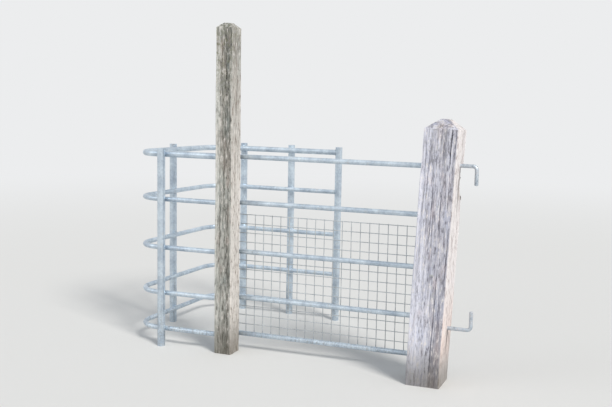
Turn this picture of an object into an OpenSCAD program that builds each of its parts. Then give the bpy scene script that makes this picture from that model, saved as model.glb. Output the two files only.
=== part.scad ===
// Galvanised steel kissing gate between two weathered oak posts.
// The origin is the centre of the hanging post's foot, at ground level.
// +X runs from the clapping post to the hanging post, +Y through the gate to its far side, +Z up.
// Millimetres and degrees throughout.

/* [Hanging post] */
// Side of the square hanging post
hanging_post_w = 175; // [160:5:225]
// Width of the hanging post's worn arrises
hanging_post_arris = 6; // [2:1:12]
// Height of the hanging post's shoulders above the top rail's centre
hanging_post_rise = 192; // [170:2:400]
// Rise of the hanging post's four-way weathered top
hanging_post_top_rise = 48; // [20:2:90]
// Side of the blunt flat that is worn on the tip of the hanging post
hanging_post_flat = 45; // [20:1:70]
// Lean of the hanging post away from the leaf, towards the field gate that hangs on it
hanging_post_lean = 2.5; // [0:0.25:3]
// Drop from the hanging post's shoulders to the ledge above the broken arris
break_drop = 170; // [120:5:500]
// Height of the broken stretch of arris
break_h = 175; // [80:5:300]
// Depth of the break into the face that looks at the field gate
break_depth = 28; // [10:1:45]
// Width of the break across that face, from the back arris
break_w = 66; // [30:1:70]

/* [Clapping post] */
// Side of the slim square clapping post
clapping_post_w = 100; // [80:5:125]
// Width of the clapping post's worn arrises
clapping_post_arris = 4; // [2:1:8]
// Height of the clapping post's shoulders above the top rail's centre
clapping_post_rise = 680; // [100:5:900]
// Rise of the clapping post's four-way weathered top
clapping_post_top_rise = 26; // [10:2:60]
// Side of the blunt flat that is worn on the tip of the clapping post
clapping_post_flat = 40; // [15:1:60]
// Distance of the clapping post's centre from the leaf's end stile, towards the hanging post
clapping_post_offset = 25; // [0:1:45]

/* [Rail heights] */
// Height of the lowest rail's centre above the ground
lowest_rail_z = 92; // [75:1:120]
// Step from the first rail up to the second
rail_step_1 = 202; // [150:1:260]
// Step from the second rail up to the third
rail_step_2 = 255; // [180:1:280]
// Step from the third rail up to the fourth
rail_step_3 = 270; // [180:1:300]
// Step from the fourth rail up to the top rail
rail_step_4 = 249; // [180:1:280]

/* [Leaf] */
// Leaf width between the centres of its two stiles
leaf_w = 1100; // [1000:5:1350]
// Outer diameter of the leaf's stiles
stile_d = 42.4; // [33.7:0.1:48.3]
// Wall of the leaf's stiles
stile_wall = 3.2; // [2.6:0.1:4]
// Length of a stile beyond the outermost rails' centres, at the top and at the bottom
stile_end = 34; // [24:1:45]
// Outer diameter of the leaf's rails
rail_d = 26.9; // [21.3:0.1:30]
// Wall of every rail
rail_wall = 2.6; // [2:0.1:3.2]

/* [Mesh infill] */
// Pitch of the mesh wires, both ways
mesh_pitch = 50.8; // [50:0.1:76.2]
// Thickness of a mesh wire
mesh_wire = 5; // [3:0.5:6]
// Least gap that is left between the mesh's top wire and the fourth rail's centre
mesh_top_gap = 60; // [30:5:200]

/* [Leaf hinges] */
// Diameter of the leaf's hook pins
pin_d = 16; // [12:0.5:19]
// Running clearance between a pin and its eye, on the radius
pin_clearance = 0.05; // [0.02:0.01:0.1]
// Distance of the pin's axis behind the hanging post's rear face
pin_reach = 47.5; // [42:0.5:60]
// Distance of the pin's axis from the hanging post's centre line, towards the leaf
pin_offset = 30; // [20:1:40]
// Distance between the pin's axis and the heel stile's axis
eye_offset = 45; // [42:0.5:60]
// Wall of an eye round its pin
eye_wall = 6; // [4:0.5:8]
// Height of an eye
eye_h = 40; // [30:1:50]
// Thickness of the lug between an eye and its stile
lug_t = 8; // [5:0.5:12]
// Height of the lower hook's shank above the lowest rail's centre
lower_hook_rise = 78; // [50:1:110]
// Drop from the top rail's centre to the upper hook's shank
upper_hook_drop = 98; // [50:1:120]
// Gap between an eye and the bend of its hook
eye_gap = 1; // [0.5:0.1:3]
// Length of a leaf pin that shows beyond its eye
pin_proud = 6; // [3:0.5:12]
// Depth of a hook's shank in the timber
shank_depth = 110; // [80:5:140]

/* [Field gate hooks] */
// Diameter of the field gate's hook pins
field_pin_d = 19; // [16:0.5:22]
// Distance of the field gate pins' axis from the hanging post's centre at its foot
field_pin_x = 215; // [195:1:240]
// Height of each field gate hook's shank above the leaf hook's shank of the same level
field_hook_step = 115; // [60:1:130]
// Straight length of a field gate pin
field_pin_len = 74; // [50:1:90]

/* [Enclosure] */
// Depth from the closed leaf's centre plane to the rear rails
enclosure_depth = 810; // [700:2:900]
// Width from the closed leaf's end stile to the side rails
pocket_w = 555; // [450:1:750]
// Radius of a rail's bends, to its centre line
bend_r = 150; // [90:5:220]
// Outer diameter of the enclosure's four lower rails
hoop_rail_d = 26.9; // [21.3:0.1:30]
// Outer diameter of the enclosure's top rail
hoop_top_rail_d = 33.7; // [26.9:0.1:42.4]
// Outer diameter of the enclosure's posts
hoop_post_d = 42.4; // [33.7:0.1:60.3]
// Wall of the enclosure's posts
hoop_post_wall = 3.2; // [2.6:0.1:4]
// Depth of the saddle where a rail seats in the side of a post
saddle = 1.5; // [0.5:0.1:2]
// Height of the enclosure's posts above the top rail's centre
hoop_post_rise = 30; // [20:1:45]
// Thickness of the plate that closes a tube's end
cap_t = 3; // [2:0.5:5]
// Diameter of the drain hole in the plate at the foot of each stile
drain_d = 10; // [6:1:14]
// Width of the flat strap that ties the rails to the clapping post
strap_w = 50; // [45:1:60]
// Thickness of that strap
strap_t = 6; // [4:1:10]
// Length of the strap beyond the outermost rails' centres
strap_end = 36; // [25:1:45]

/* [Hidden] */

$fn = 48;
OAK = "#a8a199";
GALVANISED = "#b4bfc6";
FORGED = "#8f9aa1";

// Gap that is left at a clapping post when the leaf is at its limit
clap_gap = 5;
// Overlap of a cutting shape past the face that it cuts, and of two shapes that are joined
overlap = 1;

rail_steps = [rail_step_1, rail_step_2, rail_step_3, rail_step_4];
TOP = len(rail_steps);
// Height of a rail's centre, from number 0 for the lowest, on the leaf and on the enclosure alike
function rail_z(i) = i == 0 ? lowest_rail_z : rail_z(i - 1) + rail_steps[i - 1];

// The leaf's hinge axis, and the plane of the closed leaf
pin_x = -pin_offset;
leaf_y = hanging_post_w / 2 + pin_reach;
heel_x = pin_x - eye_offset;
end_x = heel_x - leaf_w;
leaf_reach = pin_x - end_x;
stile_bottom_z = lowest_rail_z - stile_end;
stile_top_z = rail_z(TOP) + stile_end;

// The mesh lies against the back of the leaf's rails, with its bottom wire on the lowest rail
clear_w = leaf_w - stile_d;
mesh_columns = floor(clear_w / mesh_pitch);
mesh_rows = floor((rail_z(TOP - 1) - mesh_top_gap - lowest_rail_z) / mesh_pitch);
mesh_x = end_x + stile_d / 2 + (clear_w - mesh_columns * mesh_pitch) / 2;
mesh_y = leaf_y + rail_d / 2 + mesh_wire / 2;

// The heights of the hooks' shanks
lower_hook_z = lowest_rail_z + lower_hook_rise;
upper_hook_z = rail_z(TOP) - upper_hook_drop;
field_lower_z = lower_hook_z + field_hook_step;
field_upper_z = upper_hook_z + field_hook_step;
leaf_pin_len = eye_h + eye_gap + pin_proud;
// The straight pin's start from the shank's axis, which is the bend's centre-line radius
function bend_of(d) = d;
// Reach from the leaning post's face to a field gate pin's axis at a height
function field_reach(z) = field_pin_x - hanging_post_w / 2 - z * tan(hanging_post_lean);

// The clapping post stands just in front of the leaf's end stile
clapping_x = end_x + clapping_post_offset;
clapping_y = leaf_y - stile_d / 2 - clap_gap - clapping_post_w / 2;

// The enclosure's plan
rear_y = leaf_y + enclosure_depth;
side_x = end_x - pocket_w;
front_y = clapping_y;
strap_x = clapping_x - clapping_post_w / 2;
// The end stile stops short of the top rail, and the rear clapping tube stands as far from it there
stop_depth = enclosure_depth - (stile_d + hoop_top_rail_d) / 2 - clap_gap;
stop_x = pin_x - sqrt(pow(leaf_reach, 2) - pow(stop_depth, 2));
clap_reach = (stile_d + hoop_post_d) / 2 + clap_gap;
rear_tube_x = stop_x + sqrt(max(0, pow(clap_reach, 2) - pow(enclosure_depth - stop_depth, 2)));
side_run = rear_y - front_y - 2 * bend_r;
corner_x = side_x + bend_r + hoop_post_d;
rear_middle_x = (rear_tube_x + corner_x) / 2;
hoop_post_top_z = rail_z(TOP) + hoop_post_rise;
function hoop_d(i) = i == TOP ? hoop_top_rail_d : hoop_rail_d;
// Outward shift of a rail, so that the outer sides of thick and thin rails are flush
function outset(i) = (hoop_top_rail_d - hoop_d(i)) / 2;
// Distance from the top rail's axis out to the axis of a post that it is seated against
post_out = (hoop_top_rail_d + hoop_post_d) / 2 - saddle;

// The cross-section of a tube
module ring(d, wall) {
  difference() {
    circle(d = d);
    circle(d = d - 2 * wall);
  }
}

// A tube that stands on the XY plane
module tube(d, wall, h) {
  difference() {
    cylinder(d = d, h = h);
    translate([0, 0, -overlap]) cylinder(d = d - 2 * wall, h = h + 2 * overlap);
  }
}

// The cross-section of a square post with worn arrises
module post_section(w, arris) {
  a = w / 2 - arris;
  h = w / 2;
  polygon([[-a, -h], [a, -h], [h, -a], [h, a], [a, h], [-a, h], [-h, a], [-h, -a]]);
}

// A post with a four-way weathered top, which starts below the ground if it is to be cut level
module weathered_post(w, arris, shoulder_h, rise, flat, below = 0) {
  module gable() {
    polygon([
      [-w / 2, -below], [w / 2, -below], [w / 2, shoulder_h],
      [flat / 2, shoulder_h + rise], [-flat / 2, shoulder_h + rise], [-w / 2, shoulder_h],
    ]);
  }
  intersection() {
    translate([0, 0, -below]) linear_extrude(below + shoulder_h + rise) post_section(w, arris);
    rotate([90, 0, 0]) linear_extrude(w, center = true) gable();
    rotate([90, 0, 90]) linear_extrude(w, center = true) gable();
  }
}

// The wedge that has split off the hanging post's back arris, square above and running out below
module arris_break() {
  x = hanging_post_w / 2;
  ledge_z = rail_z(TOP) + hanging_post_rise - break_drop;
  translate([0, x - break_w, ledge_z])
    rotate([90, 0, 0]) mirror([0, 0, 1])
      linear_extrude(break_w + overlap)
        polygon([
          [x + overlap, 0], [x - break_depth * 0.75, 0],
          [x - break_depth, -break_h * 0.2], [x - break_depth * 0.7, -break_h * 0.6],
          [x, -break_h], [x + overlap, -break_h],
        ]);
}

module hanging_post() {
  below = 20;
  color(OAK)
    difference() {
      rotate([0, hanging_post_lean, 0])
        difference() {
          weathered_post(
            hanging_post_w, hanging_post_arris, rail_z(TOP) + hanging_post_rise,
            hanging_post_top_rise, hanging_post_flat, below
          );
          arris_break();
        }
      translate([-hanging_post_w, -hanging_post_w, -3 * below])
        cube([2 * hanging_post_w, 2 * hanging_post_w, 3 * below]);
      at_upper_leaf_hook() hook_shank(pin_d, pin_reach);
      at_lower_leaf_hook() hook_shank(pin_d, pin_reach);
      at_upper_field_hook() hook_shank(field_pin_d, field_reach(field_upper_z));
      at_lower_field_hook() hook_shank(field_pin_d, field_reach(field_lower_z));
    }
}

module clapping_post() {
  color(OAK)
    translate([clapping_x, clapping_y, 0])
      weathered_post(
        clapping_post_w, clapping_post_arris, rail_z(TOP) + clapping_post_rise,
        clapping_post_top_rise, clapping_post_flat
      );
}

// The straight shank of a hook, along -Y from the start of its bend to its end in the timber
module hook_shank(d, reach) {
  rotate([90, 0, 0])
    translate([0, 0, bend_of(d)]) cylinder(d = d, h = reach + shank_depth - bend_of(d));
}

// A bent round hook whose pin stands on the Z axis
module gate_hook(d, reach, pin_len) {
  bend = bend_of(d);
  chamfer = d / 6;
  hook_shank(d, reach);
  translate([0, -bend, bend])
    rotate([0, 90, 0])
      rotate_extrude(angle = 90) translate([bend, 0]) circle(d = d);
  translate([0, 0, bend]) cylinder(d = d, h = pin_len - chamfer);
  translate([0, 0, bend + pin_len - chamfer])
    cylinder(d1 = d, d2 = d - 2 * chamfer, h = chamfer);
}

// The upper hooks point down, so that neither gate can be lifted off
module at_upper_leaf_hook() {
  translate([pin_x, leaf_y, upper_hook_z]) mirror([0, 0, 1]) children();
}

module at_lower_leaf_hook() {
  translate([pin_x, leaf_y, lower_hook_z]) children();
}

module at_upper_field_hook() {
  translate([field_pin_x, 0, field_upper_z]) mirror([0, 0, 1]) rotate([0, 0, -90]) children();
}

module at_lower_field_hook() {
  translate([field_pin_x, 0, field_lower_z]) rotate([0, 0, -90]) children();
}

module upper_leaf_hook() {
  color(FORGED) at_upper_leaf_hook() gate_hook(pin_d, pin_reach, leaf_pin_len);
}

module lower_leaf_hook() {
  color(FORGED) at_lower_leaf_hook() gate_hook(pin_d, pin_reach, leaf_pin_len);
}

module upper_field_hook() {
  color(FORGED)
    at_upper_field_hook() gate_hook(field_pin_d, field_reach(field_upper_z), field_pin_len);
}

module lower_field_hook() {
  color(FORGED)
    at_lower_field_hook() gate_hook(field_pin_d, field_reach(field_lower_z), field_pin_len);
}

// An eye round the pin on the Z axis, with the lug that is welded to the heel stile
module hinge_eye() {
  bore_d = pin_d + 2 * pin_clearance;
  difference() {
    union() {
      cylinder(d = bore_d + 2 * eye_wall, h = eye_h);
      translate([-eye_offset, -lug_t / 2, eye_h * 0.1]) cube([eye_offset, lug_t, eye_h * 0.8]);
    }
    translate([0, 0, -overlap]) cylinder(d = bore_d, h = eye_h + 2 * overlap);
    translate([-eye_offset, 0, -overlap]) cylinder(d = stile_d, h = eye_h + 2 * overlap);
  }
}

module upper_leaf_eye() {
  color(GALVANISED)
    translate([pin_x, leaf_y, upper_hook_z - bend_of(pin_d) - eye_gap - eye_h]) hinge_eye();
}

module lower_leaf_eye() {
  color(GALVANISED)
    translate([pin_x, leaf_y, lower_hook_z + bend_of(pin_d) + eye_gap]) hinge_eye();
}

module leaf_stile(x) {
  translate([x, leaf_y, stile_bottom_z]) tube(stile_d, stile_wall, stile_top_z - stile_bottom_z);
}

module leaf_heel_stile() {
  color(GALVANISED) leaf_stile(heel_x);
}

module leaf_end_stile() {
  color(GALVANISED) leaf_stile(end_x);
}

// A round plate with a softened outer edge, which closes the end of a tube
module end_cap(d) {
  edge = cap_t / 3;
  cylinder(d = d, h = cap_t - edge);
  translate([0, 0, cap_t - edge]) cylinder(d1 = d, d2 = d - 2 * edge, h = edge);
}

module leaf_stile_caps() {
  color(GALVANISED)
    for (x = [heel_x, end_x]) {
      translate([x, leaf_y, stile_top_z]) end_cap(stile_d);
      translate([x, leaf_y, stile_bottom_z])
        mirror([0, 0, 1])
          difference() {
            end_cap(stile_d);
            translate([0, 0, -overlap]) cylinder(d = drain_d, h = cap_t + 2 * overlap);
          }
    }
}

// A leaf rail, coped to the round of both stiles
module leaf_rail(i) {
  color(GALVANISED)
    difference() {
      translate([end_x, leaf_y, rail_z(i)]) rotate([0, 90, 0]) tube(rail_d, rail_wall, leaf_w);
      for (x = [heel_x, end_x])
        translate([x, leaf_y, rail_z(i) - rail_d]) cylinder(d = stile_d, h = 2 * rail_d);
    }
}

// Square-mesh infill: level wires coped to the round of both stiles, and upright wires welded behind them
module leaf_mesh() {
  half = mesh_wire / 2;
  lap = mesh_wire * 0.75;
  mesh_h = mesh_rows * mesh_pitch;
  color(GALVANISED)
    translate([0, mesh_y, lowest_rail_z]) {
      for (i = [0:mesh_columns])
        translate([mesh_x + i * mesh_pitch - half, lap - half, -half])
          cube([mesh_wire, mesh_wire, mesh_h + mesh_wire]);
      difference() {
        for (j = [0:mesh_rows])
          translate([end_x, -half, j * mesh_pitch - half]) cube([leaf_w, mesh_wire, mesh_wire]);
        for (x = [heel_x, end_x])
          translate([x, leaf_y - mesh_y, -mesh_pitch])
            cylinder(d = stile_d, h = mesh_h + 2 * mesh_pitch);
      }
    }
}

// Half of a hoop rail: a leg along +X, a bend, and half of the side's run, which laps over the middle
module half_hoop(d, r, leg) {
  translate([bend_r, side_run / 2, 0])
    rotate([0, 0, 90]) {
      rotate_extrude(angle = 90) translate([r, 0]) ring(d, rail_wall);
      translate([r, 0, 0]) rotate([90, 0, 0]) linear_extrude(leg) ring(d, rail_wall);
      translate([0, r, 0]) rotate([90, 0, 90]) mirror([0, 0, 1])
        linear_extrude(side_run / 2 + overlap) ring(d, rail_wall);
    }
}

// A rail bent round the enclosure, from the rear clapping tube to the strap on the clapping post
module hoop_rail(i) {
  d = hoop_d(i);
  r = bend_r + outset(i);
  color(GALVANISED)
    translate([side_x, (rear_y + front_y) / 2, rail_z(i)]) {
      difference() {
        half_hoop(d, r, rear_tube_x - side_x - bend_r);
        translate([rear_tube_x - side_x, (rear_y - front_y) / 2, -d])
          cylinder(d = hoop_post_d, h = 2 * d);
      }
      mirror([0, 1, 0]) half_hoop(d, r, strap_x - strap_t - side_x - bend_r);
    }
}

// An enclosure post on the outer side of the rails, which lie along X, with +Y outwards
module seated_post() {
  difference() {
    translate([0, post_out, 0]) tube(hoop_post_d, hoop_post_wall, hoop_post_top_z);
    for (i = [0:TOP])
      translate([-hoop_post_d, outset(i), rail_z(i)])
        rotate([0, 90, 0]) cylinder(d = hoop_d(i), h = 2 * hoop_post_d);
  }
}

module at_rear_middle() {
  translate([rear_middle_x, rear_y, 0]) children();
}

module at_rear_corner() {
  translate([corner_x, rear_y, 0]) children();
}

module at_side_middle() {
  translate([side_x, (rear_y + front_y) / 2, 0]) rotate([0, 0, 90]) children();
}

module at_front_corner() {
  translate([corner_x, front_y, 0]) rotate([0, 0, 180]) children();
}

module rear_clapping_tube() {
  color(GALVANISED)
    translate([rear_tube_x, rear_y, 0]) tube(hoop_post_d, hoop_post_wall, hoop_post_top_z);
}

module rear_middle_tube() {
  color(GALVANISED) at_rear_middle() seated_post();
}

module rear_corner_tube() {
  color(GALVANISED) at_rear_corner() seated_post();
}

module side_middle_tube() {
  color(GALVANISED) at_side_middle() seated_post();
}

module front_corner_tube() {
  color(GALVANISED) at_front_corner() seated_post();
}

module tube_caps() {
  module seated_cap() {
    translate([0, post_out, hoop_post_top_z]) end_cap(hoop_post_d);
  }
  color(GALVANISED) {
    translate([rear_tube_x, rear_y, hoop_post_top_z]) end_cap(hoop_post_d);
    at_rear_middle() seated_cap();
    at_rear_corner() seated_cap();
    at_side_middle() seated_cap();
    at_front_corner() seated_cap();
  }
}

// The flat strap on the clapping post's side, where the rails of the enclosure end
module fixing_strap() {
  bottom_z = lowest_rail_z - strap_end;
  color(GALVANISED)
    translate([strap_x - strap_t, front_y - strap_w / 2, bottom_z])
      cube([strap_t, strap_w, rail_z(TOP) + strap_end - bottom_z]);
}

hanging_post();
clapping_post();
upper_leaf_hook();
lower_leaf_hook();
upper_field_hook();
lower_field_hook();
rear_clapping_tube();
rear_middle_tube();
rear_corner_tube();
side_middle_tube();
front_corner_tube();
tube_caps();
fixing_strap();
hoop_rail(0);  // hoop_rail_1
hoop_rail(1);  // hoop_rail_2
hoop_rail(2);  // hoop_rail_3
hoop_rail(3);  // hoop_rail_4
hoop_rail(4);  // hoop_rail_5
leaf_heel_stile();
leaf_end_stile();
leaf_stile_caps();
leaf_rail(0);  // leaf_rail_1
leaf_rail(1);  // leaf_rail_2
leaf_rail(2);  // leaf_rail_3
leaf_rail(3);  // leaf_rail_4
leaf_rail(4);  // leaf_rail_5
leaf_mesh();
upper_leaf_eye();
lower_leaf_eye();
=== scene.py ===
import math
from collections import namedtuple
from functools import reduce

import bmesh
import bpy
from mathutils import Matrix, Vector


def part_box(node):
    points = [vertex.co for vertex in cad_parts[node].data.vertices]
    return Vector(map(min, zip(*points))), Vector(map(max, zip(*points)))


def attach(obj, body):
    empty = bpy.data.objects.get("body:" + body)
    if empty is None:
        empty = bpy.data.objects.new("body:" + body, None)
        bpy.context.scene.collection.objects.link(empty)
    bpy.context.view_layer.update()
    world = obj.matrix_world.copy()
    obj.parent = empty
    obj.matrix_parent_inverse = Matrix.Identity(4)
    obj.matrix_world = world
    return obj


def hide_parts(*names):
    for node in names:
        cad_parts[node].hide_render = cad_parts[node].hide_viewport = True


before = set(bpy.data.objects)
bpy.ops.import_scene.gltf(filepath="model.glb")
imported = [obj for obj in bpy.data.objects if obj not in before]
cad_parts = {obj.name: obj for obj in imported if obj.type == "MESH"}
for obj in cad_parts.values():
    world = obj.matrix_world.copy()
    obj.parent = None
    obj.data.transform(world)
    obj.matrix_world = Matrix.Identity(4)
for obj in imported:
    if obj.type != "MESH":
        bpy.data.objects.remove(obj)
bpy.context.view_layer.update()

# The bodies that the pieces ride on
POSTS = "posts_and_enclosure"
LEAF = "leaf"


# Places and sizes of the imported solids, in metres
def middle(node):
    return [(low + high) / 2 for low, high in zip(*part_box(node))]


def extent(node):
    return [high - low for low, high in zip(*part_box(node))]


HEEL_X, LEAF_Y = middle("leaf_heel_stile")[:2]
END_X = middle("leaf_end_stile")[0]
STILE_R = extent("leaf_heel_stile")[0] / 2
RAIL_R = extent("leaf_rail_1")[2] / 2
RAIL_Z = [middle(f"leaf_rail_{i}")[2] for i in range(1, 6)]
# The enclosure's posts that stand against its rails: the axis that each one faces them along, and
# the side of them that it stands on
SEATED_TUBES = {
    "rear_middle_tube": (1, 1),
    "rear_corner_tube": (1, 1),
    "front_corner_tube": (1, -1),
    "side_middle_tube": (0, -1),
}

# The oak posts: where each stands, half its side, the bevel along its arrises, how high its
# shoulder is, how far the top rises above that, the width of the blunt tip, and the lean
Post = namedtuple("Post", "centre half arris shoulder rise tip lean")
HANGING = Post(
    centre=(0, 0), half=0.0875, arris=0.006, shoulder=1.26, rise=0.048, tip=0.045,
    lean=math.radians(2.5),
)
CLAPPING = Post(
    centre=(-1.15, 0.0588), half=0.05, arris=0.004, shoulder=1.748, rise=0.026, tip=0.040,
    lean=0.0,
)

# The tear in the hanging post's arris between +X and +Y. Both tables run from the ledge at its top,
# 0, to its foot, 1. They say how deep it goes in from the +X face, and how far behind the post's
# middle it starts.
Tear = namedtuple("Tear", "ledge height depths starts")
TORN_ARRIS = Tear(
    ledge=1.09,
    height=0.175,
    depths=((0, 0.021), (0.2, 0.028), (0.6, 0.0196), (1, 0)),
    starts=(
        (0, 0.0300), (0.12, 0.0215), (0.30, 0.0270), (0.52, 0.0235), (0.78, 0.0420), (1, 0.0800),
    ),
)

# The dark run below each hook: its place across and through the post, its top and its length
HOOK_STAINS = (
    (-0.030, HANGING.half, 0.97, 0.22),
    (-0.030, HANGING.half, 0.17, 0.12),
    (HANGING.half, 0.0, 1.085, 0.30),
    (HANGING.half, 0.0, 0.285, 0.16),
)

IMAGE_WIDTH_PX = 612
SENSOR_MM = 36


# The camera stands where the photograph was taken from, turned to the gate, with a longer lens
def add_camera(place, yaw, pitch, roll, focal_px, shift):
    data = bpy.data.cameras.new("camera")
    camera = bpy.data.objects.new("camera", data)
    bpy.context.scene.collection.objects.link(camera)
    data.sensor_width = SENSOR_MM
    data.lens = SENSOR_MM * focal_px / IMAGE_WIDTH_PX
    data.shift_x, data.shift_y = shift
    data.clip_end = 200
    turn = (
        Matrix.Rotation(math.radians(yaw), 4, "Z")
        @ Matrix.Rotation(math.radians(90 + pitch), 4, "X")
        @ Matrix.Rotation(math.radians(roll), 4, "Z")
    )
    camera.matrix_world = Matrix.Translation(place) @ turn
    bpy.context.scene.camera = camera


add_camera(
    place=(1.028, -3.902, 1.342), yaw=18.2, pitch=-6.1, roll=1.6,
    focal_px=832, shift=(-0.125, -0.008),
)


# Shader maths: arithmetic on a value adds Math nodes to the tree that it belongs to
class Value:
    def __init__(self, tree, socket):
        self.tree, self.socket = tree, socket

    def math(self, operation, *others):
        given = dict(enumerate((self, *others)))
        return self.tree.node("Math", {"operation": operation}, given)

    def __add__(self, other):
        return self.math("ADD", other)

    __radd__ = __add__

    def __sub__(self, other):
        return self.math("SUBTRACT", other)

    def __rsub__(self, other):
        return self.tree.node("Math", {"operation": "SUBTRACT"}, {0: other, 1: self})

    def __mul__(self, other):
        return self.math("MULTIPLY", other)

    __rmul__ = __mul__

    def __truediv__(self, other):
        return self.math("DIVIDE", other)

    def __rtruediv__(self, other):
        return self.tree.node("Math", {"operation": "DIVIDE"}, {0: other, 1: self})

    def __abs__(self):
        return self.math("ABSOLUTE")

    def most(self, other):
        return self.math("MAXIMUM", other)

    def least(self, other):
        return self.math("MINIMUM", other)

    # 0 where the value is at low, 1 where it is at high, and smooth between them
    def between(self, low, high):
        settings = {"interpolation_type": "SMOOTHSTEP"}
        given = {"Value": self, "From Min": low, "From Max": high}
        return self.tree.node("MapRange", settings, given)


# The nodes of a material or of the world
class Tree:
    def __init__(self, owner):
        owner.use_nodes = True
        owner.node_tree.nodes.clear()
        self.owner = owner

    # Any node: its type, its settings, and the numbers or values that its sockets are given
    def node(self, kind, settings=None, given=None, output=0):
        nodes, links = self.owner.node_tree.nodes, self.owner.node_tree.links
        made = nodes.new("ShaderNode" + kind)
        for name, setting in (settings or {}).items():
            setattr(made, name, setting)
        for name, value in (given or {}).items():
            if isinstance(value, Value):
                links.new(value.socket, made.inputs[name])
            else:
                made.inputs[name].default_value = value
        return Value(self, made.outputs[output]) if made.outputs else None


class Finish(Tree):
    def __init__(self, name):
        super().__init__(bpy.data.materials.new(name))

    def place(self):
        return self.node("TexCoord", output="Object")

    def split(self, vector):
        outputs = self.node("SeparateXYZ", given={"Vector": vector}).socket.node.outputs
        return [Value(self, outputs[axis]) for axis in "XYZ"]

    def join(self, x, y, z):
        return self.node("CombineXYZ", given={"X": x, "Y": y, "Z": z})

    def noise(self, vector, scale, detail=3.0, roughness=0.55):
        given = {"Vector": vector, "Scale": scale, "Detail": detail, "Roughness": roughness}
        return self.node("TexNoise", given=given)

    def mix(self, amount, first, second):
        given = {0: amount, 6: first, 7: second}
        return self.node("Mix", {"data_type": "RGBA"}, given, output=2)

    def bump(self, height, strength, distance):
        given = {"Height": height, "Strength": strength, "Distance": distance}
        return self.node("Bump", given=given)

    def surface(self, **given):
        sockets = {name.replace("_", " "): value for name, value in given.items()}
        shader = self.node("BsdfPrincipled", given=sockets)
        self.node("OutputMaterial", given={"Surface": shader})
        return self.owner


# A colour as it is seen, from 0 to 255, made linear
def colour(red, green, blue):
    def linear(level):
        level /= 255
        return level / 12.92 if level <= 0.04045 else ((level + 0.055) / 1.055) ** 2.4

    return (linear(red), linear(green), linear(blue), 1.0)


# What lies on the oak, warm painted sunlight, painted shade and brown in its splits, and torn wood
WARM_SUNLIGHT = colour(232, 196, 176)
ALGAE = colour(112, 113, 82)
LICHEN = colour(186, 190, 172)
DAMP_WOOD = colour(86, 80, 68)
IRON_STAIN = colour(54, 47, 44)
SPLIT_SHADE, SPLIT_BROWN = colour(36, 31, 28), colour(92, 76, 62)
TORN_DARK, TORN_PALE = colour(118, 103, 92), colour(188, 172, 158)
# What lies on the steel
WHITE_BLOOM = colour(214, 218, 218)
GRIME = colour(92, 84, 68)
THIN_RUST = colour(128, 74, 42)
RUST_DARK, RUST_BRIGHT = colour(96, 58, 38), colour(150, 96, 60)
# The studio
FLOOR_LIGHT, FLOOR_SHADE = colour(226, 225, 222), colour(218, 217, 214)
SKY_LIGHT = colour(228, 234, 242)
BACKDROP = colour(236, 237, 238)

Tones = namedtuple("Tones", "dark middle light brown bleached palest cool warm")


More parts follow.
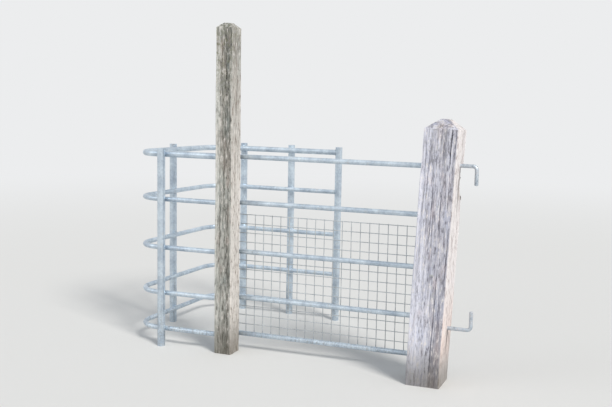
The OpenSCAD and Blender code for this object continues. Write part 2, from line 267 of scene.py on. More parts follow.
# Weathered oak on one post: u runs across the post, v from its front to its back, and w up it with
# the grain. Hollow is how deep a point lies under the nearest face.
class Oak(Finish):
    def __init__(self, name, post, seed, tones):
        super().__init__(name)
        self.post = post
        self.tones = Tones(*(colour(*tone) for tone in tones))
        x, y, z = self.split(self.place())
        u = x * math.cos(post.lean) - z * math.sin(post.lean) - post.centre[0]
        v = y - post.centre[1]
        w = x * math.sin(post.lean) + z * math.cos(post.lean)
        self.u, self.v, self.w = u, v, w
        self.hollow = post.half - abs(u).most(abs(v))

        # Lines along the grain, from fine to broad, and then patches, blotches, flecks and tints
        wander = self.noise(self.join(u, v, w * 0.4 + seed), 5.0, 2.0) - 0.5
        along = self.join(u + wander * 0.016, v + wander * 0.016, w * 0.03 + seed)
        self.fibre = self.noise(along, 520.0, 4.0, 0.7)
        self.grain = self.noise(along, 150.0, 5.0, 0.65)
        self.band = self.noise(along, 34.0, 3.0, 0.6)
        self.patch = self.noise(self.join(u, v, w * 0.45 + seed), 8.0, 3.0)
        self.mottle = self.noise(self.join(u, v, w + seed), 60.0, 4.0, 0.6)
        self.fleck = self.noise(self.join(u, v, w * 0.26 + seed * 2), 85.0, 4.0, 0.72)
        self.tint = self.noise(self.join(u, v, w * 0.30 - seed), 22.0, 3.0, 0.6)

        half, shoulder = post.half, post.shoulder
        # Masks for the front, for its palest left part, and for the +X side and the top's slope
        # that faces it, which get painted sunlight
        self.front = 1 - v.between(half * -0.96, half * -0.88)
        self.pale_left = self.front * (1 - u.between(half * -0.85, half * 0.35))
        self.sunny_side = u.between(half * 0.88, half * 0.96)
        over_shoulder = w.between(shoulder - 0.001, shoulder + 0.001)
        sunny_slope = (u - abs(v)).between(0.0, 0.005) * over_shoulder
        self.sunny = self.sunny_side.most(sunny_slope)

    # Silver wood with dark grain, cool, warm and brown patches, and arrises that are rubbed pale
    def silvered(self):
        tones = self.tones
        silver = self.mix(self.grain.between(0.34, 0.56), tones.dark, tones.middle)
        pale = self.mix(self.band.between(0.42, 0.66), silver, tones.light)
        aged = self.mix(self.fibre.between(0.32, 0.46) * 0.7 + 0.3, tones.dark, pale)
        cooled = self.mix(self.tint.between(0.52, 0.70) * 0.55, aged, tones.cool)
        warmed = self.mix((1 - self.tint.between(0.30, 0.47)) * 0.45, cooled, tones.warm)
        brown_patch = self.patch.between(0.54, 0.78) * (0.35 + self.grain * 0.4)
        browned = self.mix(brown_patch, warmed, tones.brown)
        near_arris = abs(self.u).least(abs(self.v))
        arris = near_arris.between(self.post.half * 0.66, self.post.half * 0.97)
        return self.mix(arris * (self.band * 0.5 + 0.15), browned, tones.light)

    # The front is palest at its left, between the grain lines, and has painted shade at its right,
    # low down
    def front_toned(self, wood, pale_and_shade):
        between_lines = self.fibre.between(0.42, 0.56) * self.grain.between(0.39, 0.53)
        between_lines = between_lines * 0.75 + 0.25
        pale = self.pale_left * (self.band * 0.6 + 0.8) * between_lines * pale_and_shade
        front_toned = self.mix(pale, wood, self.tones.palest)
        shaded_right = self.front * self.u.between(self.post.half * -0.1, self.post.half * 0.6)
        low_down = 0.45 - self.w.between(0.10, 0.75) * 0.22
        # Painted shade at the right of the front, strongest low down
        dark = shaded_right * low_down * (0.5 + self.grain * 0.7) * pale_and_shade
        return self.mix(dark, front_toned, self.tones.dark)

    # Painted sunlight: the sunny side is painted pale, less so up a post with painted shade higher
    # up, and warm low down
    def painted_sun(self, wood, top_in_shade, warm_sunlight):
        up_post = self.w.between(self.post.shoulder - 1.0, self.post.shoulder)
        bleached = self.sunny * (0.50 + self.band * 0.4) * (1 - up_post * top_in_shade)
        painted_sun = self.mix(bleached, wood, self.tones.bleached)
        low_down = self.w.between(0.04, 0.20) * (1 - self.w.between(0.24, 0.56))
        warm = self.sunny_side * low_down * (0.3 + self.band) * warm_sunlight
        return self.mix(warm, painted_sun, WARM_SUNLIGHT)

    # Dark pits, brown under painted sunlight and fewer where the front is palest, and pale fibres
    # that have lifted
    def flecked(self, wood, flecks, pale_and_shade):
        pit_tone = self.mix(self.sunny * 0.75, self.tones.dark, self.tones.brown)
        pits = (1 - self.fleck.between(0.34, 0.50)) * (flecks - self.pale_left * pale_and_shade * 0.4)
        pitted = self.mix(pits, wood, pit_tone)
        return self.mix(self.fleck.between(0.53, 0.68) * flecks, pitted, self.tones.bleached)

    # Algae towards the top, spots of lichen, and damp at the foot
    def damp(self, wood, algae):
        towards_top = self.w.between(self.post.shoulder - 0.5, self.post.shoulder + 0.01)
        growth = self.mottle.between(0.45, 0.66) * self.patch.between(0.38, 0.6)
        greened = self.mix(growth * (towards_top * 0.8 + 0.2) * algae, wood, ALGAE)
        spots = self.mottle.between(0.60, 0.68) * (1 - self.patch.between(0.35, 0.6))
        spotted = self.mix(spots * 0.45, greened, LICHEN)
        foot = (1 - self.w.between(0.02, 0.26)) * (self.band * 0.5 + 0.40)
        return self.mix(foot, spotted, DAMP_WOOD)

    def stained(self, wood, stains):
        for across, through, top, length in stains:
            beside = 1 - abs(self.u - across).between(0.004, 0.020)
            behind = 1 - abs(self.v - through).between(0.004, 0.020)
            below = (top + 0.012 - self.w).between(0.0, 0.02)
            fading = 1 - (top - self.w).between(length * 0.3, length)
            run = beside * behind * (below * fading) * (self.grain * 0.7 + 0.3)
            wood = self.mix(run, wood, IRON_STAIN)
        return wood

    # 1 where the tear has laid the wood bare. Its depth is the least of the table's lines.
    def laid_bare(self, tear):
        down = (tear.ledge - self.w) / tear.height
        lines = []
        for (share, depth), (next_share, next_depth) in zip(tear.depths, tear.depths[1:]):
            slope = (next_depth - depth) / (next_share - share)
            lines.append((down - share) * slope + depth)
        torn_depth = reduce(Value.least, lines)
        inside = (self.u - self.post.half + torn_depth).between(-0.011, -0.004)
        first_start = min(start for share, start in tear.starts)
        behind = self.v.between(first_start - 0.002, first_start + 0.001)
        under_ledge = 1 - self.w.between(tear.ledge, tear.ledge + 0.002)
        torn = inside * torn_depth.between(0.0, 0.002) * behind * under_ledge
        return torn * self.hollow.between(0.002, 0.005)

    # Torn wood, and painted shade with some brown in the splits, which are what lies deeper than
    # the relief of the faces
    def finished(self, wood, tear):
        shoulder = self.post.shoulder
        below_top = 1 - self.w.between(shoulder - 0.006, shoulder + 0.002)
        # Painted shade where a point lies deep in a split
        split = self.hollow.between(0.0068, 0.0115) * below_top
        if tear:
            bare = self.laid_bare(tear)
            torn_tone = self.mix(self.grain.between(0.35, 0.6), TORN_DARK, TORN_PALE)
            wood = self.mix(bare * 0.85, wood, torn_tone)
            split = split * (1 - bare * 0.9)
        split_shade_tone = self.mix(self.fibre.between(0.3, 0.6), SPLIT_SHADE, SPLIT_BROWN)
        final = self.mix(split, wood, split_shade_tone)
        normal = self.bump(self.fibre * 0.4 + self.grain * 0.6, 0.6, 0.0016)
        rough = 0.80 + self.mottle * 0.15
        return self.surface(Base_Color=final, Roughness=rough, Normal=normal, Metallic=0.0)


def weathered_oak(
    name, post, seed, tones, pale_and_shade, top_in_shade, warm_sunlight, flecks, algae, stains=(), tear=None
):
    oak = Oak(name, post, seed, tones)
    wood = oak.front_toned(oak.silvered(), pale_and_shade)
    wood = oak.painted_sun(wood, top_in_shade, warm_sunlight)
    wood = oak.flecked(wood, flecks, pale_and_shade)
    wood = oak.damp(wood, algae)
    return oak.finished(oak.stained(wood, stains), tear)


# Hot-dip galvanised steel that has dulled, with spangle, white bloom, a little rust, and dirt that
# is worst low down
def galvanised(name, light, dark, bloom, dirt, rust, rough):
    zinc = Finish(name)
    place = zinc.place()
    x, y, z = zinc.split(place)
    cell = zinc.node("TexVoronoi", given={"Vector": place, "Scale": 95.0}, output="Color")
    spangle = zinc.node("SeparateColor", given={"Color": cell})
    cloud = zinc.noise(place, 14.0, 4.0, 0.6)
    speck = zinc.noise(place, 160.0, 3.0, 0.6)
    run = zinc.noise(zinc.join(x, y, z * 0.12), 70.0, 3.0, 0.55)
    blot = zinc.noise(place, 38.0, 4.0, 0.65)

    mottling = cloud.between(0.3, 0.7) * 0.7 + spangle * 0.3
    tone = zinc.mix(mottling, colour(*dark), colour(*light))
    bloomed = zinc.mix(blot.between(0.55, 0.72) * bloom, tone, WHITE_BLOOM)
    low_down = (1 - z.between(0.03, 0.42)) * 0.75 + 0.25
    grime = (speck.between(0.42, 0.7) * 0.5 + run.between(0.5, 0.75) * 0.6) * low_down
    dirtied = zinc.mix(grime * dirt, bloomed, GRIME)
    rusty = blot.between(0.66, 0.74) * speck.between(0.45, 0.6)
    final = zinc.mix(rusty * rust, dirtied, THIN_RUST)

    roughness = rough + cloud * 0.16 + grime * 0.2 - spangle * 0.06
    metal = 0.78 - grime * dirt * 0.6 - rusty * rust * 0.6
    normal = zinc.bump(speck * 0.6 + spangle * 0.4, 0.18, 0.0006)
    return zinc.surface(Base_Color=final, Roughness=roughness, Metallic=metal, Normal=normal)


# Forged rods, galvanised and dulled, with rust in the pits
def forged(name, light, dark, rust):
    steel = Finish(name)
    place = steel.place()
    scale = steel.noise(place, 55.0, 4.0, 0.65)
    pit = steel.noise(place, 320.0, 3.0, 0.6)
    grey = steel.mix(scale.between(0.3, 0.65), colour(*dark), colour(*light))
    rusted = scale.between(0.50, 0.64) * pit.between(0.38, 0.58)
    rust_tone = steel.mix(pit.between(0.35, 0.65), RUST_DARK, RUST_BRIGHT)
    final = steel.mix(rusted * rust, grey, rust_tone)
    normal = steel.bump(pit * 0.6 + scale * 0.4, 0.4, 0.0007)
    rough = 0.46 + rusted * 0.3 + pit * 0.1
    metal = 0.78 - rusted * rust * 0.6
    return steel.surface(Base_Color=final, Roughness=rough, Metallic=metal, Normal=normal)


# Floor that keeps its colour under the object and fades to the background away from it
def floor_finish():
    floor = Finish("studio_floor")
    x, y, z = floor.split(floor.place())
    away = (x * x + y * y).math("SQRT").between(3.5, 13.0)
    grain = floor.noise(floor.place(), 30.0, 2.0)
    shade = floor.mix(grain * 0.15, FLOOR_LIGHT, FLOOR_SHADE)
    lit = floor.node("BsdfDiffuse", given={"Color": shade})
    far = floor.node("Emission", given={"Color": BACKDROP, "Strength": 1.0})
    seen = floor.node("LightPath", output="Is Camera Ray")
    both = floor.node("MixShader", given={0: away * seen, 1: lit, 2: far})
    floor.node("OutputMaterial", given={"Surface": both})
    return floor.owner


# For each post: its tones, among them the pale of its painted sunlight, and how strong its front's
# pale left and painted shade, the painted shade up the post and the warm painted sunlight are
oak_hanging = weathered_oak(
    "weathered_oak_hanging_post", HANGING, seed=3.1,
    tones=Tones(
        dark=(103, 100, 110), middle=(193, 193, 204), light=(226, 226, 236),
        brown=(176, 158, 151), bleached=(243, 236, 232), palest=(236, 237, 249),
        cool=(182, 188, 213), warm=(213, 198, 200),
    ),
    pale_and_shade=0.8, top_in_shade=0.0, warm_sunlight=0.42, flecks=0.80, algae=0.22,
    stains=HOOK_STAINS, tear=TORN_ARRIS,
)
oak_clapping = weathered_oak(
    "weathered_oak_clapping_post", CLAPPING, seed=17.7,
    tones=Tones(
        dark=(66, 64, 59), middle=(163, 162, 154), light=(202, 201, 194),
        brown=(142, 124, 114), bleached=(232, 225, 218), palest=(222, 222, 215),
        cool=(148, 156, 153), warm=(176, 156, 146),
    ),
    pale_and_shade=0.75, top_in_shade=0.75, warm_sunlight=0.0, flecks=0.85, algae=0.65,
)
zinc_tube = galvanised(
    "dull_galvanised_tube", light=(221, 233, 242), dark=(171, 186, 201),
    bloom=0.5, dirt=0.6, rust=0.30, rough=0.30,
)
zinc_wire = galvanised(
    "weathered_galvanised_wire", light=(212, 216, 218), dark=(172, 178, 182),
    bloom=0.5, dirt=0.5, rust=0.3, rough=0.40,
)
zinc_weld = galvanised(
    "galvanised_weld", light=(204, 215, 223), dark=(154, 165, 175),
    bloom=0.3, dirt=0.9, rust=0.9, rough=0.5,
)
hook_steel = forged(
    "galvanised_hook_steel", light=(212, 221, 229), dark=(162, 172, 182), rust=0.5
)
screw_steel = forged(
    "rusted_screw_steel", light=(160, 164, 168), dark=(108, 112, 116), rust=1.0
)


# Modelling helpers
def only(piece):
    if bpy.context.mode != "OBJECT":
        bpy.ops.object.mode_set(mode="OBJECT")
    bpy.ops.object.select_all(action="DESELECT")
    piece.select_set(True)
    bpy.context.view_layer.objects.active = piece


def start(primitive, name, **given):
    bpy.ops.object.select_all(action="DESELECT")
    primitive(**given)
    piece = bpy.context.object
    piece.name = piece.data.name = name
    bpy.ops.object.transform_apply(location=True, rotation=True, scale=True)
    return piece


def edit(piece):
    only(piece)
    bpy.ops.object.mode_set(mode="EDIT")


def done():
    bpy.ops.object.mode_set(mode="OBJECT")


# In edit mode, select the vertices, edges or faces that pass a test, and nothing else
def pick(piece, kind, test):
    kinds = ("verts", "edges", "faces")
    bpy.context.tool_settings.mesh_select_mode = tuple(kind == each for each in kinds)
    bpy.ops.mesh.select_all(action="DESELECT")
    shape = bmesh.from_edit_mesh(piece.data)
    for item in getattr(shape, kind):
        item.select = bool(test(item))
    if kind == "verts":
        shape.select_flush(True)
    else:
        shape.select_flush_mode()
    bmesh.update_edit_mesh(piece.data)


def pick_all():
    bpy.ops.mesh.select_all(action="SELECT")


def faces_up(face):
    return face.normal.z > 0.9


def at_an_end(face):
    return abs(face.normal.z) > 0.9


def ends(edge):
    return edge.verts[0].co, edge.verts[1].co


def climb(edge):
    a, b = ends(edge)
    return abs(a.z - b.z)


def apply(piece, kind, **settings):
    only(piece)
    modifier = piece.modifiers.new(kind.lower(), kind)
    for name, setting in settings.items():
        setattr(modifier, name, setting)
    bpy.ops.object.modifier_apply(modifier=modifier.name)


# A copy with its own mesh, turned about the origin and moved
def copy_to(piece, place, turn=Matrix.Identity(4)):
    other = piece.copy()
    other.data = piece.data.copy()
    bpy.context.scene.collection.objects.link(other)
    other.data.transform(Matrix.Translation(place) @ turn)
    return other


def join(name, parts):
    bpy.ops.object.select_all(action="DESELECT")
    for part in parts:
        part.select_set(True)
    bpy.context.view_layer.objects.active = parts[0]
    bpy.ops.object.join()
    piece = bpy.context.object
    piece.name = piece.data.name = name
    return piece


def smooth(piece, degrees):
    only(piece)
    bpy.ops.object.shade_smooth_by_angle(angle=math.radians(degrees))


def wear(piece, material, body):
    piece.data.materials.clear()
    piece.data.materials.append(material)
    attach(piece, body)


def drop(piece):
    bpy.data.objects.remove(piece, do_unlink=True)


# Clouds that shape a surface. Where they carve, stops turn their levels into depths: 0 is carved to
# the full, and 1 is left at the face.
def clouds(size, octaves, stops=(), hard=False):
    texture = bpy.data.textures.new("clouds", "CLOUDS")
    texture.noise_scale = size
    texture.noise_depth = octaves
    texture.noise_type = "HARD_NOISE" if hard else "SOFT_NOISE"
    if stops:
        texture.use_color_ramp = True
        for element, (position, level) in zip(texture.color_ramp.elements, stops):
            element.position = position
            element.color = (level, level, level, 1)
    return texture


# Carving goes inwards only, so that a post never grows past its faces. The clouds are drawn out
# along the post by the stretch, and read at the offset.
def carve(piece, texture, depth, stretch, offset, group="", direction="NORMAL"):
    bpy.ops.object.empty_add(location=(offset, offset * 0.7, offset * 0.3))
    ruler = bpy.context.object
    ruler.scale = (1, 1, stretch)
    bpy.context.view_layer.update()
    apply(
        piece, "DISPLACE", texture=texture, texture_coords="OBJECT", texture_coords_object=ruler,
        strength=depth, mid_level=1.0, vertex_group=group, direction=direction,
    )
    drop(ruler)


# More than half of what these stops shape is left at the face, so that a post keeps its width
MOSTLY_FLAT = ((0.2, 0.0), (0.55, 1.0))
THIN_CRACKS = ((0.0, 0.0), (0.05, 1.0))


# A weathered face: waves, grooves and fibres along the grain, and thin cracks. Each of them is
# given as the size of its clouds, its depth and its offset.
def weather(piece, waves, grooves, fibres, cracks):
    for (size, depth, offset), octaves, stretch in (
        (waves, 2, 3.0), (grooves, 2, 26.0), (fibres, 3, 40.0),
    ):
        carve(piece, clouds(size, octaves, MOSTLY_FLAT), depth, stretch, offset)
    size, depth, offset = cracks
    carve(piece, clouds(size, 1, THIN_CRACKS, hard=True), depth, 34.0, offset)


# Cuts up the slope of a post's top, and the rings that close its tip, each a share of the last
TOP_ROWS = 10
TIP_RINGS = (0.80, 0.75, 0.66, 0.50, 0.30)


# A post as sawn, with a four-way top, and its faces cut into rows and columns that can be carved
def timber(name, post, bottom, rows, columns):
    side, shoulder = post.half * 2, post.shoulder
    height, top = shoulder - bottom, shoulder + post.rise
    piece = start(
        bpy.ops.mesh.primitive_cube_add, name, size=1,
        location=(0, 0, bottom + height / 2), scale=(side, side, height),
    )
    edit(piece)
    pick(piece, "edges", lambda e: climb(e) > height / 2)
    bpy.ops.mesh.bevel(
        offset=post.arris, offset_type="OFFSET", segments=3, affect="EDGES", clamp_overlap=True
    )
    pick(piece, "faces", faces_up)
    bpy.ops.mesh.extrude_region_move(TRANSFORM_OT_translate={"value": (0, 0, post.rise)})
    bpy.ops.transform.resize(
        value=(post.tip / side, post.tip / side, 1), center_override=(0, 0, top)
    )
    pick(piece, "edges", lambda e: climb(e) > height / 2)
    bpy.ops.mesh.subdivide(number_cuts=rows)

    def up_the_top(edge):
        return min(end.z for end in ends(edge)) > shoulder - 1e-4 and climb(edge) > post.rise / 2

    pick(piece, "edges", up_the_top)
    bpy.ops.mesh.subdivide(number_cuts=TOP_ROWS)

    def along_a_face(edge):
        a, b = ends(edge)
        return climb(edge) < 1e-6 and min(abs(a.x - b.x), abs(a.y - b.y)) < 1e-6

    pick(piece, "edges", along_a_face)
    bpy.ops.mesh.subdivide(number_cuts=columns)

    def on_the_tip(face):
        return faces_up(face) and face.calc_center_median().z > shoulder + post.rise * 0.9

    pick(piece, "faces", on_the_tip)
    for share in TIP_RINGS:
        bpy.ops.mesh.extrude_region_move()
        bpy.ops.transform.resize(value=(share, share, 1), center_override=(0, 0, top))
    bpy.ops.mesh.poke()
    done()
    return piece


# The axis and the sign of each face that can split
FRONT, RIGHT, BACK, LEFT = (1, -1), (0, 1), (1, 1), (0, -1)


# Drying splits: the face's points near a split's line go in, and those along its middle go in
# again. A split is given as its face, its line across the face, its foot and head, its width and
# its depth. It tapers to nothing at its foot and to about a third of its width at its head.
def split_faces(piece, half, splits):
    edit(piece)
    for (axis, sign), line, foot, head, width, depth in splits:
        step = [0.0, 0.0, 0.0]
        step[axis] = -sign * depth / 2
        for part in (1.0, 0.45):
            def inside(vertex):
                z = vertex.co.z
                if not foot < z < head or vertex.co[axis] * sign < half - depth * 1.5 - 0.006:
                    return False
                rise, fall = (z - foot) / (head - foot), (head - z) / (head - foot)
                taper = min(rise * 3, 1.0) * min(fall * 12 + 0.35, 1.0)
                sway = 0.0012 * math.sin(z * 11 + line * 90) + 0.0005 * math.sin(z * 47)
                return abs(vertex.co[1 - axis] - line - sway) < width / 2 * taper * part

            pick(piece, "verts", inside)
            bpy.ops.transform.translate(value=step)
    done()


# A value between the rows of a table
def read_off(table, t):
    for (t0, value0), (t1, value1) in zip(table, table[1:]):
        if t0 <= t <= t1:
            return value0 + (value1 - value0) * (t - t0) / (t1 - t0)
    return 0.0


# The tear in an arris. Each level of points is pressed in by three steps, each given as how far it
# is behind the tear's start and as its share of the depth, and splinters are left under the ledge.
# The points near the new edge on +Y are drawn together into it, so that carving can't fold the
# faces over.
def tear_arris(piece, half, tear):
    steps = ((0.0, 0.40), (0.004, 0.75), (0.009, 1.0))
    near = 0.0059
    splinter = 0.020

    def share_down(level):
        return (tear.ledge - level) / tear.height

    def on_level(vertex, level):
        return abs(vertex.co.z - level) < 2e-4

    def ledge_at(y):
        jagged = max(0.0, math.sin(y * 330)) * max(0.0, math.sin(y * 90 + 0.6))
        return tear.ledge - splinter * jagged

    def torn(vertex, level, behind, floor_x):
        x, y, z = vertex.co
        start_y = read_off(tear.starts, share_down(level)) + behind
        return on_level(vertex, level) and z < ledge_at(y) and y > start_y and x > floor_x

    heights = {round(v.co.z, 4) for v in piece.data.vertices}
    levels = sorted(z for z in heights if tear.ledge - tear.height < z < tear.ledge)
    floors = {}
    for level in levels:
        depth = read_off(tear.depths, share_down(level))
        floors[level] = [half - share * depth for behind, share in steps]
    edit(piece)
    for level in levels:
        for (behind, share), floor_x in zip(steps, floors[level]):
            pick(piece, "verts", lambda v: torn(v, level, behind, floor_x))
            bpy.ops.transform.resize(value=(0, 1, 1), center_override=(floor_x, 0, 0))

        def near_edge(vertex):
            x, y, z = vertex.co
            return on_level(vertex, level) and y > half - near and x > floor_x - near

        if floor_x < half - near:
            pick(piece, "verts", near_edge)
            bpy.ops.transform.resize(value=(0, 0, 1), center_override=(floor_x, half, 0))
    done()

    def pressed(vertex, level):
        x, y, z = vertex.co
        on_floor = any(abs(x - floor_x) < 3e-4 for floor_x in floors.get(level, ()))
        return on_level(vertex, level) and y > 0 and on_floor

    # The torn wood is a group of its own to carve, with less weight towards +Y
    piece.vertex_groups.new(name="torn")
    edit(piece)
    for reach, weight in ((0.0, 1.0), (0.070, 0.6), (0.078, 0.3), (0.084, 0.1)):
        bpy.context.tool_settings.vertex_group_weight = weight
        pick(piece, "verts", lambda v: v.co.y > reach and pressed(v, round(v.co.z, 4)))
        bpy.ops.object.vertex_group_assign()
    bpy.ops.mesh.remove_doubles(threshold=2e-5)
    # The highest level goes up to just under the ledge
    pick(piece, "verts", lambda v: pressed(v, levels[-1]))
    bpy.ops.transform.translate(value=(0, 0, tear.ledge - levels[-1] - 0.0008))
    done()


# The hanging post is made upright and a little too long, then leant and cut off level at its foot
def make_hanging_post():
    post = timber("hanging_post_timber", HANGING, bottom=-0.02, rows=120, columns=78)
    tear_arris(post, HANGING.half, TORN_ARRIS)
    carve(
        post, clouds(0.014, 3), depth=0.010, stretch=9.0, offset=2.4, group="torn", direction="X"
    )
    weather(
        post, waves=(0.20, 0.0030, 0.31), grooves=(0.030, 0.0022, 1.7),
        fibres=(0.0085, 0.0020, 4.2), cracks=(0.050, 0.0030, 7.9),
    )
    split_faces(post, HANGING.half, (
        (FRONT, 0.055, 1.06, 1.262, 0.0052, 0.014),
        (FRONT, 0.059, 0.84, 1.07, 0.0034, 0.008),
        (FRONT, 0.074, 1.10, 1.262, 0.0034, 0.007),
        (FRONT, 0.071, 0.40, 0.78, 0.0034, 0.007),
        (FRONT, -0.021, 0.62, 1.02, 0.0034, 0.006),
        (FRONT, 0.031, 0.05, 0.58, 0.0034, 0.007),
        (FRONT, -0.050, 0.90, 1.20, 0.0034, 0.0055),
        (FRONT, 0.024, 0.72, 0.98, 0.0034, 0.0055),
        (RIGHT, -0.046, 0.62, 1.24, 0.0036, 0.010),
        (RIGHT, 0.012, 0.02, 0.70, 0.0036, 0.010),
        (LEFT, 0.024, 0.30, 1.15, 0.0036, 0.010),
        (LEFT, -0.045, 0.60, 1.255, 0.0034, 0.008),
        (BACK, -0.006, 0.45, 1.20, 0.0036, 0.010),
        (BACK, 0.046, 0.04, 0.60, 0.0034, 0.008),
    ))
    edit(post)
    pick_all()
    bpy.ops.transform.rotate(
        value=-HANGING.lean, orient_axis="Y", orient_type="GLOBAL", center_override=(0, 0, 0)
    )
    bpy.ops.mesh.bisect(plane_co=(0, 0, 0), plane_no=(0, 0, 1), use_fill=True, clear_inner=True)
    done()
    smooth(post, 50)
    wear(post, oak_hanging, POSTS)
    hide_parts("hanging_post")


def make_clapping_post():
    post = timber("clapping_post_timber", CLAPPING, bottom=0.0, rows=150, columns=46)
    weather(
        post, waves=(0.18, 0.0026, 0.9), grooves=(0.028, 0.0020, 3.3),
        fibres=(0.0085, 0.0017, 6.1), cracks=(0.045, 0.0026, 2.2),
    )
    split_faces(post, CLAPPING.half, (
        (FRONT, 0.012, 1.12, 1.742, 0.0034, 0.009),
        (FRONT, -0.022, 0.10, 0.85, 0.0032, 0.008),
        (FRONT, 0.030, 0.35, 0.72, 0.0032, 0.007),
        (RIGHT, -0.010, 0.80, 1.50, 0.0034, 0.009),
        (RIGHT, 0.024, 0.05, 0.50, 0.0032, 0.008),
        (LEFT, 0.014, 1.15, 1.745, 0.0034, 0.009),
        (BACK, 0.006, 0.30, 1.30, 0.0034, 0.009),
    ))
    edit(post)
    pick_all()
    bpy.ops.transform.translate(value=(*CLAPPING.centre, 0))
    done()
    smooth(post, 50)
    wear(post, oak_clapping, POSTS)
    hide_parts("clapping_post")


# The mesh infill's wires and the squares that they make. The level wires end inside the stiles,
# short of their middles. The upright ones are pressed into them a little, and go past the lowest
# and the highest of them.
WIRE_R = 0.00225
PITCH = 0.0508
COLUMNS, ROWS = 20, 13
SHORT_OF_STILE = 0.012
PRESSED_IN = 0.0006
PAST_OUTER = 0.0035
NUGGET_R = 0.0031


def wire(name, length, cuts):
    rod = start(
        bpy.ops.mesh.primitive_cylinder_add, name, vertices=8, radius=WIRE_R, depth=length
    )
    edit(rod)
    pick(rod, "edges", lambda e: climb(e) > length / 2)
    bpy.ops.mesh.subdivide(number_cuts=cuts)
    pick(rod, "faces", at_an_end)
    bpy.ops.mesh.bevel(offset=WIRE_R * 0.35, segments=1, affect="EDGES")
    done()
    return rod


# Level wires against the rails, upright wires behind them, and a nugget of weld where they cross
def make_mesh_wires():
    middle_x = (END_X + HEEL_X) / 2
    left = middle_x - COLUMNS * PITCH / 2
    bottom = RAIL_Z[0]
    level_y = LEAF_Y + RAIL_R + WIRE_R
    upright_y = level_y + 2 * WIRE_R - PRESSED_IN
    level = wire("level_wire", HEEL_X - END_X - 2 * SHORT_OF_STILE, 42)
    upright = wire("upright_wire", ROWS * PITCH + 2 * PAST_OUTER, 27)
    nugget = start(
        bpy.ops.mesh.primitive_ico_sphere_add, "nugget", subdivisions=1, radius=NUGGET_R
    )
    edit(nugget)
    pick_all()
    bpy.ops.transform.resize(value=(1, 0.8, 1), center_override=(0, 0, 0))
    done()

    parts = []
    laid_down = Matrix.Rotation(math.radians(90), 4, "Y")
    for row in range(ROWS + 1):
        parts.append(copy_to(level, (middle_x, level_y, bottom + row * PITCH), laid_down))
    for column in range(COLUMNS + 1):
        place = (left + column * PITCH, upright_y, bottom + ROWS * PITCH / 2)
        parts.append(copy_to(upright, place))
    for row in range(ROWS + 1):
        for column in range(COLUMNS + 1):
            place = (left + column * PITCH, (level_y + upright_y) / 2, bottom + row * PITCH)
            turn = Matrix.Rotation(row * 1.3 + column * 2.1, 4, "Y")
            parts.append(copy_to(nugget, place, turn))
    for pattern in (level, upright, nugget):
        drop(pattern)
    wires = join("leaf_mesh_wires", parts)
    smooth(wires, 60)
    wear(wires, zinc_wire, LEAF)
    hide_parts("leaf_mesh")


# Makes a bead of weld uneven
def roughen(bead, size, strength):
    apply(
        bead, "DISPLACE", texture=clouds(size, 1), texture_coords="LOCAL",
        strength=strength, mid_level=0.5,
    )


def ring_bead(name, radius, thick, segments=28):
    bead = start(
        bpy.ops.mesh.primitive_torus_add, name, major_radius=radius, minor_radius=thick,
        major_segments=segments, minor_segments=8,
    )
    roughen(bead, thick * 2.2, thick * 0.9)
    return bead


# A bead round a rail that is coped to an upright tube. Each section moves out to the round of the
# tube, which falls away to both sides of its middle.
def coped_bead(name, rail_r, tube_r, thick, sections=32):
    bead = ring_bead(name, rail_r, thick, sections)
    edit(bead)
    for section in range(sections):
        angle = section * math.tau / sections
        across = rail_r * math.cos(angle)

        def in_section(vertex):
            round_bead = math.atan2(vertex.co.y, vertex.co.x) - angle
            return abs(math.remainder(round_bead, math.tau)) < math.pi / sections

        pick(bead, "verts", in_section)
        bpy.ops.transform.translate(value=(0, 0, math.sqrt(tube_r ** 2 - across ** 2)))
    done()
    return bead


# Turns what faces +Z to +X or -X, and its own X to +Y
def to_x(sign):
    sideways = Matrix.Rotation(math.radians(90) * sign, 4, "Y")
    return sideways @ Matrix.Rotation(math.radians(90), 4, "Z")


def finish_welds(name, beads, body):
    welds = join(name, beads)
    smooth(welds, 80)
    wear(welds, zinc_weld, body)


def make_leaf_rail_welds():
    bead = coped_bead("leaf_bead", RAIL_R, STILE_R, thick=0.0026)
    beads = []
    for z in RAIL_Z:
        beads.append(copy_to(bead, (END_X, LEAF_Y, z), to_x(1)))
        beads.append(copy_to(bead, (HEEL_X, LEAF_Y, z), to_x(-1)))
    drop(bead)
    finish_welds("leaf_rail_welds", beads, LEAF)


# A rail of the enclosure is welded to the rear clapping tube at one end and to the strap at the
# other. A small ring joins it to each post that it passes, where the two rounds meet.
def make_enclosure_welds():
    tube_x = middle("rear_clapping_tube")[0]
    strap_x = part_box("fixing_strap")[0][0]
    beads = []
    for number in range(1, 6):
        low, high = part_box(f"hoop_rail_{number}")
        z, rail_r = (low[2] + high[2]) / 2, (high[2] - low[2]) / 2
        tube_bead = coped_bead("tube_bead", rail_r, STILE_R, thick=0.0028)
        beads.append(copy_to(tube_bead, (tube_x, high[1] - rail_r, z), to_x(-1)))
        strap_bead = ring_bead("strap_bead", rail_r, thick=0.0026, segments=32)
        beads.append(copy_to(strap_bead, (strap_x - 0.0006, low[1] + rail_r, z), to_x(1)))
        seat_bead = ring_bead("seat_bead", radius=0.0095, thick=0.0038)
        for node, (axis, sign) in SEATED_TUBES.items():
            place = [*middle(node)[:2], z]
            place[axis] = high[axis] if sign > 0 else low[axis]
            turn = Matrix.Rotation(math.radians(90), 4, "X" if axis == 1 else "Y")
            beads.append(copy_to(seat_bead, place, turn))
        for pattern in (tube_bead, strap_bead, seat_bead):
            drop(pattern)
    finish_welds("enclosure_welds", beads, POSTS)


LUG_HALF = 0.0048
LUG_BEAD_R, LUG_BEAD_LENGTH = 0.0026, 0.031


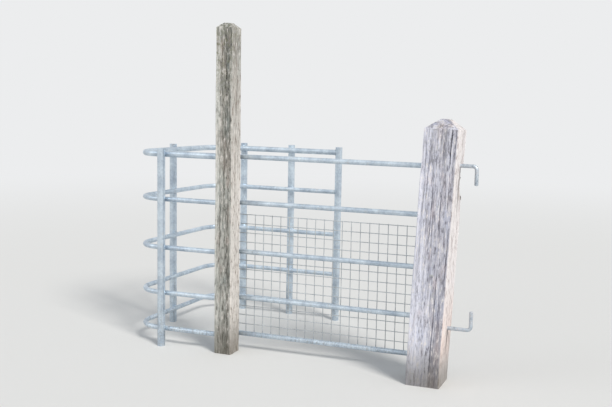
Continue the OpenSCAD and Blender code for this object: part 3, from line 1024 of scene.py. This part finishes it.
# Short straight beads on both sides of each eye's lug, where it meets the heel stile
def make_leaf_lug_welds():
    bead = start(
        bpy.ops.mesh.primitive_cylinder_add, "lug_bead",
        vertices=10, radius=LUG_BEAD_R, depth=LUG_BEAD_LENGTH,
    )
    edit(bead)
    pick(bead, "edges", lambda e: climb(e) > LUG_BEAD_LENGTH / 2)
    bpy.ops.mesh.subdivide(number_cuts=12)
    pick(bead, "faces", at_an_end)
    bpy.ops.mesh.bevel(offset=0.0016, segments=2, affect="EDGES")
    done()
    roughen(bead, 0.004, 0.0016)
    reach = math.sqrt(STILE_R ** 2 - LUG_HALF ** 2)
    beads = []
    for node in ("upper_leaf_eye", "lower_leaf_eye"):
        for side in (-1, 1):
            place = (HEEL_X + reach + 0.0004, LEAF_Y + side * LUG_HALF, middle(node)[2])
            beads.append(copy_to(bead, place))
    drop(bead)
    finish_welds("leaf_lug_welds", beads, LEAF)


# A thin ground-down bead at each cap
def make_cap_welds():
    bead = ring_bead("cap_bead", STILE_R - 0.0012, thick=0.0009, segments=48)
    stile_foot, stile_head = (corner[2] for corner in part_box("leaf_heel_stile"))
    on_leaf, on_posts = [], []
    for x in (END_X, HEEL_X):
        for z in (stile_foot, stile_head):
            on_leaf.append(copy_to(bead, (x, LEAF_Y, z)))
    for node in ("rear_clapping_tube", *SEATED_TUBES):
        x, y, z = middle(node)
        on_posts.append(copy_to(bead, (x, y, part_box(node)[1][2])))
    drop(bead)
    finish_welds("leaf_cap_welds", on_leaf, LEAF)
    finish_welds("post_cap_welds", on_posts, POSTS)


WASHER_R, WASHER_THICK = 0.0125, 0.0022
HEAD_R, HEAD_THICK = 0.0096, 0.0068
SCREW_Z = (0.20, 0.42, 0.69, 0.95)


# Coach screws that hold the strap to the clapping post, with a washer under each head. Each head
# has stopped at a turn of its own.
def make_strap_screws():
    washer = start(
        bpy.ops.mesh.primitive_cylinder_add, "washer", vertices=32,
        radius=WASHER_R, depth=WASHER_THICK, location=(0, 0, WASHER_THICK / 2),
    )
    edit(washer)
    pick(washer, "faces", faces_up)
    bpy.ops.mesh.bevel(offset=0.0006, segments=2, affect="EDGES")
    done()
    smooth(washer, 35)
    head = start(
        bpy.ops.mesh.primitive_cylinder_add, "screw_head", vertices=6,
        radius=HEAD_R, depth=HEAD_THICK, location=(0, 0, WASHER_THICK + HEAD_THICK / 2),
    )
    edit(head)
    pick(head, "faces", faces_up)
    bpy.ops.mesh.inset(thickness=0.0012, depth=0.0009)
    pick(head, "edges", lambda e: max(end.z for end in ends(e)) > 0.003)
    bpy.ops.mesh.bevel(offset=0.0005, segments=2, affect="EDGES")
    done()
    smooth(head, 35)
    screw = join("strap_screw", [washer, head])
    strap_face, strap_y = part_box("fixing_strap")[0][0], middle("fixing_strap")[1]
    screws = []
    for number, z in enumerate(SCREW_Z):
        turned = Matrix.Rotation(number * 0.7, 4, "Z")
        facing = Matrix.Rotation(math.radians(-90), 4, "Y")
        screws.append(copy_to(screw, (strap_face - 0.0001, strap_y, z), facing @ turned))
    drop(screw)
    wear(join("strap_screws", screws), screw_steel, POSTS)


make_hanging_post()
make_clapping_post()
make_mesh_wires()
make_leaf_rail_welds()
make_enclosure_welds()
make_leaf_lug_welds()
make_cap_welds()
make_strap_screws()

# CAD nodes that keep their own shape
for node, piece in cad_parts.items():
    if node not in ("hanging_post", "clapping_post", "leaf_mesh"):
        piece.data.materials.clear()
        piece.data.materials.append(hook_steel if node.endswith("_hook") else zinc_tube)

# Floor, lamps and background
floor = start(
    bpy.ops.mesh.primitive_circle_add, "floor", vertices=96, radius=40, fill_type="NGON"
)
floor.data.materials.append(floor_finish())


def add_sun(name, toward, strength, softness, tint):
    data = bpy.data.lights.new(name, "SUN")
    data.energy, data.angle, data.color = strength, math.radians(softness), tint
    lamp = bpy.data.objects.new(name, data)
    lamp.rotation_euler = Vector(toward).to_track_quat("-Z", "Y").to_euler()
    bpy.context.scene.collection.objects.link(lamp)


add_sun("key", (-0.62, 0.42, -0.66), strength=2.5, softness=16, tint=(1.0, 0.975, 0.94))
add_sun("fill", (0.70, 0.50, -0.50), strength=0.35, softness=40, tint=(0.92, 0.96, 1.0))


# The world lights the object softly, and shows as the plain backdrop to the camera and in gloss
def add_world():
    bpy.context.scene.world = bpy.data.worlds.new("studio")
    sky = Tree(bpy.context.scene.world)
    to_camera = sky.node("LightPath", output="Is Camera Ray")
    in_gloss = sky.node("LightPath", output="Is Glossy Ray")
    light = sky.node("Background", given={"Color": SKY_LIGHT, "Strength": 0.55})
    shown = sky.node("Background", given={"Color": BACKDROP, "Strength": 1.0})
    both = sky.node("MixShader", given={0: to_camera.most(in_gloss), 1: light, 2: shown})
    sky.node("OutputWorld", given={"Surface": both})


add_world()
bpy.context.scene.view_settings.view_transform = "Standard"
